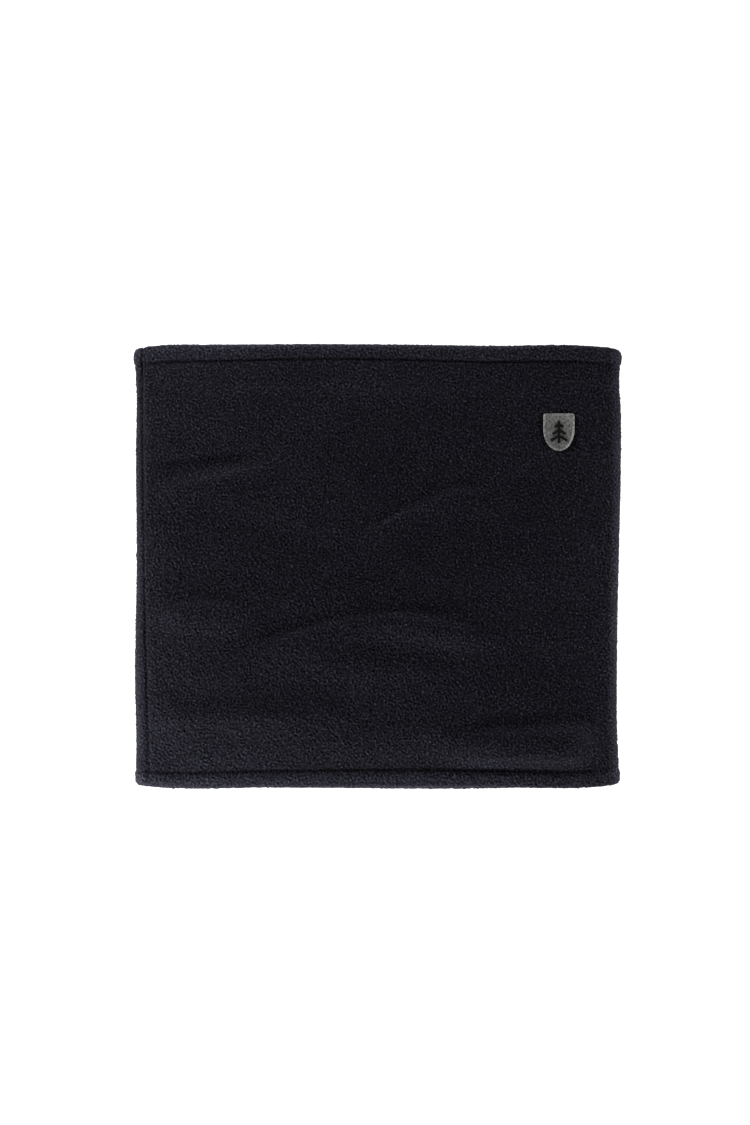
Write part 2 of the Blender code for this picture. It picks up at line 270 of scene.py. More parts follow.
def outer_face(stretch, place, y):
    """x and z of the smooth outer face, and the direction (x, z) that it faces."""
    left, right = fold_centre(y, -1), fold_centre(y, 1)
    angle = math.pi * (place - 0.5)
    x = np.where(stretch == BACK, left + (right - left) * place, right + (left - right) * place)
    z = np.where(stretch == BACK, UNDERSIDE, front_height(x, y))
    x = np.where(stretch == RIGHT, right + FOLD_RADIUS * np.cos(angle), x)
    x = np.where(stretch == LEFT, left - FOLD_RADIUS * np.cos(angle), x)
    turn = np.where(stretch == RIGHT, np.sin(angle), -np.sin(angle))
    folded = (stretch == RIGHT) | (stretch == LEFT)
    z = np.where(folded, UNDERSIDE + FOLD_RADIUS * (1 + turn), z)
    side = np.where(stretch == RIGHT, 1.0, -1.0)
    face_x = np.where(folded, side * np.cos(angle), 0.0)
    face_z = np.where(folded, turn, np.where(stretch == BACK, -1.0, 1.0))
    return x, z, face_x, face_z


def hem_lines(stretch, place):
    """y of the top and the bottom edge, and the depths of their hems, for columns of the tube."""
    x = outer_face(stretch, place, np.zeros(np.shape(place)))[0]
    frontness = np.where(stretch == RIGHT, place, np.where(stretch == LEFT, 1 - place, 0.0))
    frontness = ease(np.where(stretch == FRONT, 1.0, frontness))
    top = through(FRONT_TOP, x) * frontness + through(BACK_TOP, x) * (1 - frontness)
    bottom = through(FRONT_BOTTOM, x) * frontness + through(BACK_BOTTOM, x) * (1 - frontness)
    depth_top = HEM_DEPTH + through(TOP_HEM, x)
    depth_bottom = HEM_DEPTH + through(BOTTOM_HEM, x)
    return HALF_HEIGHT + top, bottom - HALF_HEIGHT, depth_top, depth_bottom


def badge_press(x, y):
    """How far the embroidery presses the cloth down, and how much of the pile is left free."""
    across = np.abs(x - BADGE_X) - BADGE_WIDTH / 2
    along = np.abs(y - BADGE_Y) - BADGE_HEIGHT / 2
    outside = np.hypot(np.maximum(across, 0), np.maximum(along, 0))
    outside = outside + np.minimum(np.maximum(across, along), 0)
    press = BADGE_PRESS * ease(1 - (outside + PRESS_INSIDE) / PRESS_REACH)
    return press, ease((outside + BARE_INSIDE) / BARE_REACH)


def relief(stretch, place, x, y, around, along):
    """How far the outer face stands out from the smooth tube, how far its pile stands out from
    that, and the pile's painted shading: painted shade between its nubs and along the stitch and
    seam grooves, painted highlight on the nubs' tops and over the hems. The pile follows the cloth:
    around the tube and along its cut length. The side seam is drawn in harder towards the top, and
    fades in the hems."""
    top, bottom, top_hem, bottom_hem = hem_lines(stretch, place)
    to_stitch = np.minimum(top - top_hem - y, y - bottom - bottom_hem)
    folded = (stretch == RIGHT) | (stretch == LEFT)
    firm = np.where(folded, 1 - FIRMNESS * np.sin(math.pi * place), 1.0)
    beat = np.cos(2 * math.pi * around / STITCH_LENGTH)
    groove = STITCH_GROOVE * bell(to_stitch, STITCH_GROOVE_WIDTH) * (1 + 0.25 * beat)
    groove = groove + STITCH_PULL * bell(to_stitch, STITCH_PULL_WIDTH)
    pucker = STITCH_PUCKER * beat * bell(np.abs(to_stitch) - 2.0 * MM, 1.5 * MM)
    into_hem = np.clip(-to_stitch / (HEM_DEPTH - 0.6 * HEM_RADIUS), 0.0, 1.0)
    bulge = HEM_BULGE * np.sin(math.pi * into_hem ** 0.8)
    shape = (bulge - groove) * firm + pucker
    upper = (stretch == FRONT) | ((stretch == LEFT) & (place < 0.5))
    to_seam = np.where(upper, np.abs(x - through(SEAM_LINE, y)), 1.0)
    tight = np.clip(0.5 + 0.5 * y / HALF_HEIGHT, 0.0, 1.0)
    seam = (SEAM_GROOVE + SEAM_GROOVE_MORE * tight) * bell(to_seam, SEAM_GROOVE_WIDTH)
    seam = seam + SEAM_PULL * bell(to_seam, SEAM_PULL_WIDTH)
    seam = seam * (1 + 0.12 * np.cos(2 * math.pi * y / SEAM_STITCH))
    seam = seam * (1 - 0.75 * into_hem * (1 - 0.7 * tight))
    shape = shape - seam
    press, free = badge_press(x, y)
    shape = shape - np.where(stretch == FRONT, press, 0.0)
    shape = np.where(stretch == BACK, np.minimum(0.5 * shape, 0.0), shape)
    nubs = NUBS.at(around, along)
    pile = nubs + 0.35 * CLUMPS.at(around, along)
    pile = pile * np.where(stretch == FRONT, free, 1.0)
    pile = pile * (1 - 0.6 * bell(to_stitch, 0.8 * MM)) * (1 - 0.6 * bell(to_seam, 0.8 * MM))
    # Painted shade: the pile is coloured darker along the hem stitch lines and the side seam, most
    # towards the seam's top.
    painted_groove_shade = 0.5 * bell(to_stitch, 0.7 * MM) + (0.15 + 0.9 * tight) * bell(to_seam, 0.8 * MM)
    # Painted light: the hems are coloured paler, with more contrast between their nubs.
    painted_hem_light = 0.4 * ease(4 * into_hem)
    # The last value is painted light: nubs paler on their tops as painted highlight, darker between
    # them as painted shade.
    return shape, PILE_HEIGHT * pile, nubs * (1 + 0.3 * painted_hem_light) + painted_hem_light - painted_groove_shade


def face_points(around, y, lift):
    """Points on the outer face at distances round the tube, raised by lift, and their normals."""
    stretch, place = column(np.asarray(around, float))
    x, z, face_x, face_z = outer_face(stretch, place, y)
    shape, _, _ = relief(stretch, place, x, y, around, y)
    reach = shape + lift
    points = np.stack([x + face_x * reach, np.broadcast_to(y, x.shape), z + face_z * reach], -1)
    return points, np.stack([face_x, np.zeros(x.shape), face_z], -1)


# The fleece panel as one grid: rows go once round its section, columns once round the tube

def tube_columns():
    around = []
    for start, length, spacing in zip(STARTS, LENGTHS, (BACK_GRID, GRID, GRID, GRID)):
        count = int(round(length / spacing))
        around.append(start + length * np.arange(count) / count)
    return np.concatenate(around)


def hem_rows(end):
    """Rows of one hem, from its stitch line round the edge to the ply gap, as (kind, end, place,
    depth). Place is the distance from the hem's edge, or on the outer side the share of the way
    from the round edge to the stitch line."""
    rows = []
    count = int(round((HEM_DEPTH - HEM_RADIUS) / GRID))
    rows += [("hem", end, 1 - i / count, 0.0) for i in range(count)]
    count = int(round(math.pi * HEM_RADIUS / GRID))
    for i in range(count + 1):
        angle = math.pi * i / count
        place = HEM_RADIUS * (1 - math.sin(angle))
        rows.append(("edge", end, place, HEM_RADIUS * (1 - math.cos(angle))))
    turned, raw_round = HEM_TURN - HEM_RADIUS, 0.5 * MM
    count = int(round(turned / (1.6 * GRID)))
    for i in range(1, count):
        rows.append(("turned", end, HEM_RADIUS + turned * i / count, 2 * HEM_RADIUS))
    for i in range(5):
        angle = math.pi * (0.5 - i / 4)
        place = HEM_TURN - raw_round + raw_round * math.cos(angle)
        rows.append(("raw", end, place, 1.5 * PLY + PLY_GAP + 0.5 * PLY * math.sin(angle)))
    for depth, shares in ((PLY + PLY_GAP, (0.4, 0.0)), (PLY, (0.0, 0.4))):
        rows += [("gap", end, HEM_RADIUS + share * turned, depth) for share in shares]
    return rows


def section_rows():
    body = 2 * STITCH_Y
    count = int(round(body / GRID))
    rows = [("body", 0, i / count, 0.0) for i in range(1, count)]
    rows += hem_rows(1)
    count = int(round(body / INSIDE_GRID))
    rows += [("inside", 0, 1 - i / count, PLY) for i in range(count + 1)]
    return rows + hem_rows(-1)[::-1]


def row_heights(rows, stretch, place):
    top, bottom, top_hem, bottom_hem = hem_lines(stretch, place)
    heights = []
    for kind, end, where, _ in rows:
        if end == 0:
            heights.append(bottom + bottom_hem + (top - top_hem - bottom - bottom_hem) * where)
            continue
        edge, depth = (top, top_hem) if end > 0 else (bottom, bottom_hem)
        away = HEM_RADIUS + (depth - HEM_RADIUS) * where if kind == "hem" else where
        heights.append(edge - end * away)
    return np.array(heights)


def row_wraps(rows):
    """How much further along the cloth each row lies than its height says."""
    wraps = []
    for kind, end, place, depth in rows:
        wrap = 0.0
        if kind == "edge":
            angle = math.acos(1 - depth / HEM_RADIUS)
            wrap = HEM_RADIUS * (angle - math.sin(angle))
        elif kind != "hem" and end:
            wrap = math.pi * HEM_RADIUS + 2 * (place - HEM_RADIUS)
        elif kind == "inside":
            wrap = INSIDE_WRAP
        wraps.append(end * wrap if end else wrap)
    return np.array(wraps)[:, None]


def fleece_arrays():
    """x, y and z of the panel's grid, and its pile's painted shade and highlight at each point."""
    around = tube_columns()
    stretch, place = column(around)
    rows = section_rows()
    kind = np.array([row[0] for row in rows])[:, None]
    depth = np.array([row[3] for row in rows])[:, None]
    y = row_heights(rows, stretch, place)
    x, z, face_x, face_z = outer_face(stretch, place, y)
    along = y + row_wraps(rows)
    shape, pile, pile_shading = relief(stretch, place, x, y, around, along)
    stand = np.where(np.isin(kind, ("gap", "raw", "inside")), INSIDE_PILE * pile, shape + pile)
    stand = np.where(kind == "gap", 0.0, stand)
    turned = np.where(kind == "edge", depth / (2 * HEM_RADIUS), 0.0)
    out = np.where(np.isin(kind, ("turned", "raw", "inside")), -1.0, np.cos(math.pi * turned))
    reach = out * stand - depth
    past_edge = np.where(kind == "edge", np.sin(math.pi * turned), 0.0) * np.sign(y)
    return x + face_x * reach, y + past_edge * stand, z + face_z * reach, pile_shading


# Meshes and objects

def add_piece(name, points, faces, material, smooth=True):
    """A mesh object from an array of points and a list of arrays of faces."""
    mesh = bpy.data.meshes.new(name)
    points = np.asarray(points, np.float32).reshape(-1, 3)
    faces = [np.asarray(group, np.int32) for group in faces]
    mesh.vertices.add(len(points))
    mesh.vertices.foreach_set("co", points.ravel())
    loops = np.concatenate([group.ravel() for group in faces])
    sizes = np.concatenate([np.full(len(group), group.shape[1]) for group in faces])
    mesh.loops.add(len(loops))
    mesh.loops.foreach_set("vertex_index", loops)
    mesh.polygons.add(len(sizes))
    starts = np.concatenate([[0], np.cumsum(sizes)[:-1]]).astype(np.int32)
    mesh.polygons.foreach_set("loop_start", starts)
    mesh.update(calc_edges=True)
    mesh.validate()
    if smooth:
        mesh.shade_smooth()
    mesh.materials.append(material)
    piece = bpy.data.objects.new(name, mesh)
    bpy.context.scene.collection.objects.link(piece)
    return piece


def store(piece, name, values):
    attribute = piece.data.attributes.new(name, "FLOAT", "POINT")
    attribute.data.foreach_set("value", np.asarray(values, np.float32).ravel())


def grid_faces(rows, cols):
    """Quads of a grid that closes both ways."""
    index = np.arange(rows * cols).reshape(rows, cols)
    right, up = np.roll(index, -1, 1), np.roll(index, -1, 0)
    return np.stack([index, up, np.roll(right, -1, 0), right], -1).reshape(-1, 4)


def unit(vectors):
    return vectors / np.maximum(np.linalg.norm(vectors, axis=-1, keepdims=True), 1e-12)


THREAD_SIDES = 6
UP = np.array([0.0, 0.0, 1.0])
TOPWARD = np.array([0.0, 1.0, 0.0])


def strands(paths, ups, radius, flat=1.0, tip=0.35):
    """Closed strands of thread along paths, an array of strands by points by 3. Their section is
    an ellipse, flat times as high as it is wide, and their ends are drawn in to tip."""
    count, steps = paths.shape[:2]
    sides = THREAD_SIDES
    along = unit(np.gradient(paths, axis=1))
    side = unit(np.cross(along, np.broadcast_to(ups, paths.shape)))
    up = np.cross(side, along)
    t = np.linspace(-1, 1, steps)
    taper = tip + (1 - tip) * np.sqrt(np.clip(1 - t ** 8, 0, 1))
    angle = 2 * math.pi * np.arange(sides) / sides
    across = (np.cos(angle)[None, :] * taper[:, None] * radius)[None, :, :, None]
    high = (np.sin(angle)[None, :] * taper[:, None] * radius * flat)[None, :, :, None]
    points = paths[:, :, None] + side[:, :, None] * across + up[:, :, None] * high
    first = (np.arange(count) * steps * sides)[:, None, None]
    ring = first + (np.arange(steps) * sides)[None, :, None] + np.arange(sides)[None, None, :]
    beside = np.roll(ring, -1, 2)
    walls = np.stack([ring[:, :-1], ring[:, 1:], beside[:, 1:], beside[:, :-1]], -1)
    caps = np.concatenate([ring[:, 0], ring[:, -1, ::-1]])
    return points.reshape(-1, 3), [walls.reshape(-1, 4), caps]


def joined(*parts):
    """One list of points and one of faces from several (points, faces) pairs."""
    points, faces, first = [], [], 0
    for part_points, part_faces in parts:
        points.append(np.asarray(part_points).reshape(-1, 3))
        faces += [np.asarray(group) + first for group in part_faces]
        first += len(points[-1])
    return np.concatenate(points), faces


def slab(outline, low, high):
    """A closed slab from a list of (x, y) points that run anticlockwise."""
    outline = np.asarray(outline, float)
    count = len(outline)
    bottom = np.c_[outline, np.full(count, low)]
    top = np.c_[outline, np.full(count, high)]
    index = np.arange(count)
    after = np.roll(index, -1)
    walls = np.stack([index, after, after + count, index + count], -1)
    return np.concatenate([bottom, top]), [walls, index[::-1][None], (index + count)[None]]


def closed_sheet(top, bottom):
    """A closed sheet from its two faces, arrays of rows by columns by 3 whose quads face up."""
    rows, cols = top.shape[:2]
    count = rows * cols
    index = np.arange(count).reshape(rows, cols)
    a, b, c, d = index[:-1, :-1], index[:-1, 1:], index[1:, 1:], index[1:, :-1]
    quads = np.stack([a, b, c, d], -1).reshape(-1, 4)
    rim = np.concatenate([index[0, :-1], index[:-1, -1], index[-1, :0:-1], index[:0:-1, 0]])
    after = np.roll(rim, -1)
    edge = np.stack([rim, rim + count, after + count, after], -1)
    points = np.concatenate([top.reshape(-1, 3), bottom.reshape(-1, 3)])
    return points, [quads, quads[:, ::-1] + count, edge]


def declare(piece, slot, *nodes):
    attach(piece, "root")
    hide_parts(*nodes)
    return piece


# Materials

# Noise scales, in waves per metre

FIBRE, TUFT, PATCH, BRUSH = 1900.0, 820.0, 60.0, 48.0
THREAD_PLIES, THREAD_SHADE = 5200.0, 900.0
MATTED, DENTS = 2400.0, 900.0
SATIN_FLOATS = 1500.0


def new_material(name, colour, roughness):
    material = bpy.data.materials.new(name)
    material.use_nodes = True
    shader = material.node_tree.nodes["Principled BSDF"]
    shader.inputs["Base Color"].default_value = (*colour, 1.0)
    shader.inputs["Roughness"].default_value = roughness
    return material, material.node_tree, shader


def add_node(tree, kind, settings=(), **inputs):
    made = tree.nodes.new(kind)
    for key, value in dict(settings).items():
        setattr(made, key, value)
    for key, value in inputs.items():
        made.inputs[key.replace("_", " ")].default_value = value
    return made


def noise(tree, place, scale, detail, distortion=0.0):
    made = add_node(tree, "ShaderNodeTexNoise", Scale=scale, Detail=detail, Roughness=0.6,
                    Distortion=distortion)
    tree.links.new(place, made.inputs["Vector"])
    return made.outputs["Fac"]


def ramp(tree, source, stops):
    made = tree.nodes.new("ShaderNodeValToRGB")
    while len(made.color_ramp.elements) < len(stops):
        made.color_ramp.elements.new(0.5)
    for element, (place, colour) in zip(made.color_ramp.elements, stops):
        element.position = place
        element.color = (*colour, 1.0)
    tree.links.new(source, made.inputs["Fac"])
    return made.outputs["Color"]


def multiply(tree, first, second):
    made = add_node(tree, "ShaderNodeMix", {"data_type": "RGBA", "blend_type": "MULTIPLY"})
    made.inputs["Factor"].default_value = 1.0
    tree.links.new(first, made.inputs["A"])
    tree.links.new(second, made.inputs["B"])
    return made.outputs["Result"]


def grey(value):
    return (value, value, value)


def spread(tree, source, low, high):
    made = add_node(tree, "ShaderNodeMapRange", To_Min=low, To_Max=high)
    tree.links.new(source, made.inputs["Value"])
    return made.outputs["Result"]


def bump(tree, source, strength, distance, below=None):
    made = add_node(tree, "ShaderNodeBump", Strength=strength, Distance=distance)
    tree.links.new(source, made.inputs["Height"])
    if below is not None:
        tree.links.new(below, made.inputs["Normal"])
    return made.outputs["Normal"]


def fleece_material():
    """Brushed black fleece: painted shade between its nubs and grooves, painted highlight on nubs and
    hems.
    """
    material, tree, shader = new_material("fleece", (0.012, 0.012, 0.015), 0.95)
    place = tree.nodes.new("ShaderNodeTexCoord").outputs["Object"]
    pile = add_node(tree, "ShaderNodeAttribute", {"attribute_name": "pile"}).outputs["Fac"]
    fibre = noise(tree, place, FIBRE, 3.0, 1.2)
    tuft = noise(tree, place, TUFT, 2.0, 0.6)
    patch = noise(tree, place, PATCH, 2.0)
    stretched = add_node(tree, "ShaderNodeMapping", Scale=(0.35, 1.0, 1.0))
    tree.links.new(place, stretched.inputs["Vector"])
    brushed = noise(tree, stretched.outputs["Vector"], BRUSH, 2.0, 0.3)
    # The pile attribute's dark end is painted shade between nubs and in grooves; its pale bluish end
    # is painted highlight.
    colour = ramp(tree, pile, ((0.2, (0.0015, 0.0015, 0.0023)), (0.5, (0.0085, 0.0084, 0.0119)),
                               (0.85, (0.0295, 0.0290, 0.0400))))
    colour = multiply(tree, colour, ramp(tree, tuft, ((0.32, grey(0.5)), (0.68, grey(1.5)))))
    colour = multiply(tree, colour, ramp(tree, fibre, ((0.35, grey(0.6)), (0.65, grey(1.4)))))
    colour = multiply(tree, colour, ramp(tree, brushed, ((0.35, grey(0.92)), (0.65, grey(1.08)))))
    tint = ramp(tree, patch, ((0.35, (0.95, 0.92, 0.97)), (0.65, (1.03, 1.07, 1.04))))
    tree.links.new(multiply(tree, colour, tint), shader.inputs["Base Color"])
    tree.links.new(spread(tree, tuft, 0.84, 1.0), shader.inputs["Roughness"])
    normal = bump(tree, tuft, 0.7, 0.30 * MM)
    normal = bump(tree, fibre, 0.6, 0.12 * MM, normal)
    tree.links.new(normal, shader.inputs["Normal"])
    shader.inputs["Specular IOR Level"].default_value = 0.05
    shader.inputs["Sheen Weight"].default_value = 0.08
    shader.inputs["Sheen Roughness"].default_value = 0.3
    shader.inputs["Sheen Tint"].default_value = (0.85, 0.9, 1.0, 1.0)
    return material


def thread_material(name, colour, roughness, specular):
    """Spun thread: fine plies and a little colour change along it."""
    material, tree, shader = new_material(name, colour, roughness)
    place = tree.nodes.new("ShaderNodeTexCoord").outputs["Object"]
    plies = noise(tree, place, THREAD_PLIES, 2.0, 0.4)
    shade = noise(tree, place, THREAD_SHADE, 2.0)
    low, high = (tuple(c * k for c in colour) for k in (0.4, 1.7))
    tone = ramp(tree, shade, ((0.36, low), (0.64, high)))
    fine = ramp(tree, plies, ((0.3, grey(0.7)), (0.7, grey(1.3))))
    tree.links.new(multiply(tree, tone, fine), shader.inputs["Base Color"])
    tree.links.new(spread(tree, plies, roughness - 0.12, roughness + 0.12),
                   shader.inputs["Roughness"])
    tree.links.new(bump(tree, plies, 0.5, 0.05 * MM), shader.inputs["Normal"])
    shader.inputs["Specular IOR Level"].default_value = specular
    return material


def backing_material():
    """Non-woven stabiliser: matted fibres with small dents."""
    material, tree, shader = new_material("backing", (0.030, 0.030, 0.032), 0.9)
    place = tree.nodes.new("ShaderNodeTexCoord").outputs["Object"]
    fibres = noise(tree, place, MATTED, 4.0, 2.5)
    dents = add_node(tree, "ShaderNodeTexVoronoi", Scale=DENTS)
    tree.links.new(place, dents.inputs["Vector"])
    tone = ramp(tree, fibres, ((0.3, (0.018, 0.018, 0.019)), (0.7, (0.042, 0.042, 0.045))))
    tree.links.new(tone, shader.inputs["Base Color"])
    tree.links.new(spread(tree, fibres, 0.8, 1.0), shader.inputs["Roughness"])
    normal = bump(tree, dents.outputs["Distance"], 0.4, 0.1 * MM)
    tree.links.new(bump(tree, fibres, 0.5, 0.05 * MM, normal), shader.inputs["Normal"])
    return material


def satin_material():
    """Woven satin tape: fine floats across its width."""
    material, tree, shader = new_material("label_satin", (0.020, 0.020, 0.022), 0.42)
    place = tree.nodes.new("ShaderNodeTexCoord").outputs["Object"]
    floats = add_node(tree, "ShaderNodeTexWave", {"bands_direction": "Y"}, Scale=SATIN_FLOATS,
                      Distortion=0.6, Detail=1.0, Detail_Scale=3.0)
    tree.links.new(place, floats.inputs["Vector"])
    tone = ramp(tree, floats.outputs["Fac"], ((0.2, (0.014, 0.014, 0.0155)),
                                              (0.8, (0.026, 0.026, 0.0285))))
    tree.links.new(tone, shader.inputs["Base Color"])
    tree.links.new(spread(tree, floats.outputs["Fac"], 0.36, 0.5), shader.inputs["Roughness"])
    normal = bump(tree, floats.outputs["Fac"], 0.35, 0.03 * MM)
    tree.links.new(normal, shader.inputs["Normal"])
    return material


# The fleece panel and the side seam

def make_fleece(material):
    x, y, z, pile_shading = fleece_arrays()
    points = np.stack([x, y, np.maximum(z, FLOOR_GAP)], -1)
    piece = add_piece("fleece_tube", points, [grid_faces(*x.shape)], material)
    # The pile attribute stored here is painted shade and painted highlight in the fleece's colour.
    store(piece, "pile", PALE_MEAN + PALE_STEP * pile_shading)
    declare(piece, "fleece", "fleece_panel")


SEAM_LEAN = 0.4                    # sideways for each unit of depth below the cloth
ALLOWANCE_THICK = 1.9 * MM
ALLOWANCE_GAP = 0.12 * MM          # from the seam's middle to each allowance
ALLOWANCE_TOP = 1.9 * MM           # depths of the allowances' top and foot
ALLOWANCE_FOOT = 6.4 * MM
SQUARENESS = 0.35                  # exponent of their squared section


def seam_point(y, across, depth):
    """Points of the side seam's own frame: across it, and down from the outer face. Below the
    cloth it leans away from the side fold."""
    x = through(SEAM_LINE, y)
    top = front_height(np.maximum(x, fold_centre(y, -1)), y)
    lean = SEAM_LEAN * np.maximum(depth - PLY, 0.0)
    return np.stack([x + across + lean, y + 0 * x, top - depth], -1)


def make_seam_allowances(material):
    """The panel's two short edges, turned in and hanging side by side inside the seam."""
    ys = np.linspace(SEAM_LOW.y, SEAM_HIGH.y, 160)
    turn = np.linspace(0, 2 * math.pi, 20, endpoint=False)
    half_x, half_z = ALLOWANCE_THICK / 2, (ALLOWANCE_FOOT - ALLOWANCE_TOP) / 2
    round_x = np.sign(np.cos(turn)) * np.abs(np.cos(turn)) ** SQUARENESS * half_x
    round_z = np.sign(np.sin(turn)) * np.abs(np.sin(turn)) ** SQUARENESS * half_z
    random = np.random.default_rng(21)
    parts = []
    for side in (-1, 1):
        middle = side * (ALLOWANCE_GAP + half_x)
        lump = 1 + 0.06 * random.standard_normal((len(ys), len(turn)))
        across = middle + round_x[None, :] * lump
        depth = ALLOWANCE_TOP + half_z + round_z[None, :] * lump
        points = seam_point(ys[:, None] + 0 * across, across, depth)
        count = len(turn)
        index = np.arange(points.shape[0] * count).reshape(-1, count)
        beside = np.roll(index, -1, 1)
        walls = np.stack([index[:-1], beside[:-1], beside[1:], index[1:]], -1).reshape(-1, 4)
        caps = np.stack([index[0, ::-1], index[-1]])
        parts.append((points.reshape(-1, 3), [walls, caps]))
    points, faces = joined(*parts)
    piece = add_piece("side_seam_allowances", points, faces, material)
    store(piece, "pile", np.full(len(points), 0.45))
    declare(piece, "fleece", "fleece_panel")


def make_seam_threads(material):
    """An overlock stitch round the raw edges, and a row of needle stitches above it."""
    count = int((SEAM_HIGH.y - SEAM_LOW.y) / SEAM_STITCH)
    starts = SEAM_LOW.y + SEAM_STITCH * np.arange(count)
    half, near, rim, waist, foot, slack = 2.2 * MM, 0.9 * MM, 4.3 * MM, 5.4 * MM, 6.6 * MM, 0.1 * MM
    loop = ((-half, rim, 0.0), (-half - slack, waist, 0.25), (-half, foot - 2 * slack, 0.4),
            (-near, foot + slack, 0.5), (near, foot + slack, 0.55),
            (half, foot - 2 * slack, 0.6), (half + slack, waist, 0.75), (half, rim, 1.0))
    across, depth, share = np.array(loop).T
    y = starts[:, None] + SEAM_STITCH * share[None, :]
    rows = [strands(seam_point(y, side * across + 0 * y, depth + 0 * y), TOPWARD, THREAD)
            for side in (1, -1)]
    piece = add_piece("side_seam_overlock", *joined(*rows), material)
    declare(piece, "sewing_thread", "side_seam_looper_thread")
    share = np.linspace(0.04, 0.96, 7)
    y = starts[:, None] + SEAM_STITCH * share[None, :]
    outside = ALLOWANCE_GAP + ALLOWANCE_THICK
    arch = 0.12 * MM * np.sin(math.pi * share)[None, :] + 0 * y
    rows = [strands(seam_point(y, side * (outside + arch), 3.3 * MM + 0 * y),
                    np.array([side, 0.0, 0.0]), THREAD) for side in (-1.0, 1.0)]
    piece = add_piece("side_seam_needle_stitches", *joined(*rows), material)
    declare(piece, "sewing_thread", "side_seam_needle_thread")


# Hem stitches

STITCH_ARCH = 0.34 * MM            # height of the arch that a stitch follows
STITCH_SINK = 0.22 * MM            # depth of the arch's feet in the cloth


def make_hem_stitches(material):
    """Lockstitches round each hem: needle thread in the groove outside, bobbin thread inside."""
    count = int(round(GIRTH / STITCH_LENGTH))
    share = np.linspace(0.06, 0.94, 9)
    around = (np.arange(count)[:, None] + share[None, :]) * GIRTH / count
    arch = STITCH_ARCH * np.sin(math.pi * share)[None, :] ** 0.6 + 0 * around
    stretch, place = column(around)
    top, bottom, top_hem, bottom_hem = hem_lines(stretch, place)
    for hem, y in (("top", top - top_hem), ("bottom", bottom + bottom_hem)):
        points, normals = face_points(around, y, arch - STITCH_SINK)
        outside = strands(points, normals, THREAD)
        piece = add_piece(f"{hem}_hem_needle_stitches", *outside, material)
        declare(piece, "sewing_thread", f"{hem}_hem_needle_thread")
        inner = 2 * HEM_RADIUS - 0.25 * MM + arch
        x, z, face_x, face_z = outer_face(stretch, place, y)
        points = np.stack([x - face_x * inner, y, z - face_z * inner], -1)
        inside = strands(points, normals, THREAD)
        piece = add_piece(f"{hem}_hem_bobbin_stitches", *inside, material)
        declare(piece, "sewing_thread", f"{hem}_hem_bobbin_thread")


# Badge

BADGE_CORNER = 1.4 * MM
BADGE_TAPER = 12.0 * MM
BORDER = 1.1 * MM
ROW_PITCH = 0.36 * MM
SATIN_PITCH = 0.31 * MM
BADGE_STRAND = 0.20 * MM
CORNER_POINTS, FOOT_POINTS = 7, 49

# Lowest and highest level of each layer of the badge, from the cloth's smooth face, and how deep
# the backing and the bobbin thread lie below that face

UNDERLAY_LEVELS = (-0.75 * MM, -0.22 * MM)
FILL_LEVELS = (-0.34 * MM, 0.08 * MM)
BORDER_LEVELS = (-0.45 * MM, 0.30 * MM)
MOTIF_LEVELS = (0.10 * MM, 0.42 * MM)
BACKING_DEPTH = PLY + 0.95 * MM
BOBBIN_DEPTH = PLY + 1.45 * MM


def badge_outline(inset=0.0):
    """A flat-topped tab with a round foot, anticlockwise, as (x, y) points from its middle."""
    half = BADGE_WIDTH / 2 - inset
    top = BADGE_HEIGHT / 2 - inset
    taper = BADGE_TAPER - inset
    corner = max(BADGE_CORNER - inset, 0.25 * MM)
    points = []
    for side, first in ((1, 0.0), (-1, 90.0)):
        for angle in np.radians(np.linspace(first, first + 90.0, CORNER_POINTS)):
            x = side * (half - corner) + corner * math.cos(angle)
            points.append((x, top - corner + corner * math.sin(angle)))
    for angle in np.linspace(math.pi, 2 * math.pi, FOOT_POINTS):
        points.append((half * math.cos(angle), taper - top + taper * math.sin(angle)))
    return np.array(points)


def badge_place(points):
    """Puts points of the badge's own frame, whose z is up from the cloth, onto the front."""
    step = 4 * MM
    middle = front_height(BADGE_X, BADGE_Y)
    rise_x = (front_height(BADGE_X + step, BADGE_Y) - front_height(BADGE_X - step, BADGE_Y))
    rise_y = (front_height(BADGE_X, BADGE_Y + step) - front_height(BADGE_X, BADGE_Y - step))
    x, y, z = points[..., 0], points[..., 1], points[..., 2]
    height = middle + z + (x * rise_x + y * rise_y) / (2 * step)
    return np.stack([BADGE_X + x, BADGE_Y + y, height], -1)


def even_points(outline, pitch):
    """Points at an even pitch along a closed outline, and its inward direction at each."""
    closed = np.concatenate([outline, outline[:1]])
    lengths = np.hypot(*np.diff(closed, axis=0).T)
    far = np.concatenate([[0.0], np.cumsum(lengths)])
    count = int(round(far[-1] / pitch))
    at = far[-1] * np.arange(count) / count
    points = np.stack([np.interp(at, far, closed[:, k]) for k in (0, 1)], -1)
    ahead = np.roll(points, -2, 0) - np.roll(points, 2, 0)
    return points, unit(np.stack([-ahead[:, 1], ahead[:, 0]], -1))


def satin(ends_a, ends_b, levels, seed):
    """Threads laid side by side from ends_a to ends_b, arched between two levels."""
    low, high = levels
    share = np.linspace(0, 1, 9)
    jitter = np.random.default_rng(seed).uniform(-1, 1, (len(ends_a), 2))
    flat = ends_a[:, None] + (ends_b - ends_a)[:, None] * share[None, :, None]
    lift = low + (high - low) * np.sin(math.pi * share) ** 0.55
    lift = lift[None, :] + 0.04 * MM * jitter[:, :1]
    flat = flat + 0.03 * MM * jitter[:, None, :]
    paths = badge_place(np.concatenate([flat, lift[..., None]], -1))
    return strands(paths, UP, BADGE_STRAND, flat=0.8, tip=0.6)


def make_badge_border(material):
    """A satin edge: threads laid across it, over a padded core."""
    points, inward = even_points(badge_outline(), SATIN_PITCH)
    rows = satin(points, points + inward * (BORDER + 0.15 * MM), BORDER_LEVELS, seed=31)
    piece = add_piece("badge_border", *rows, material)
    declare(piece, "badge_thread", "badge_border_thread")


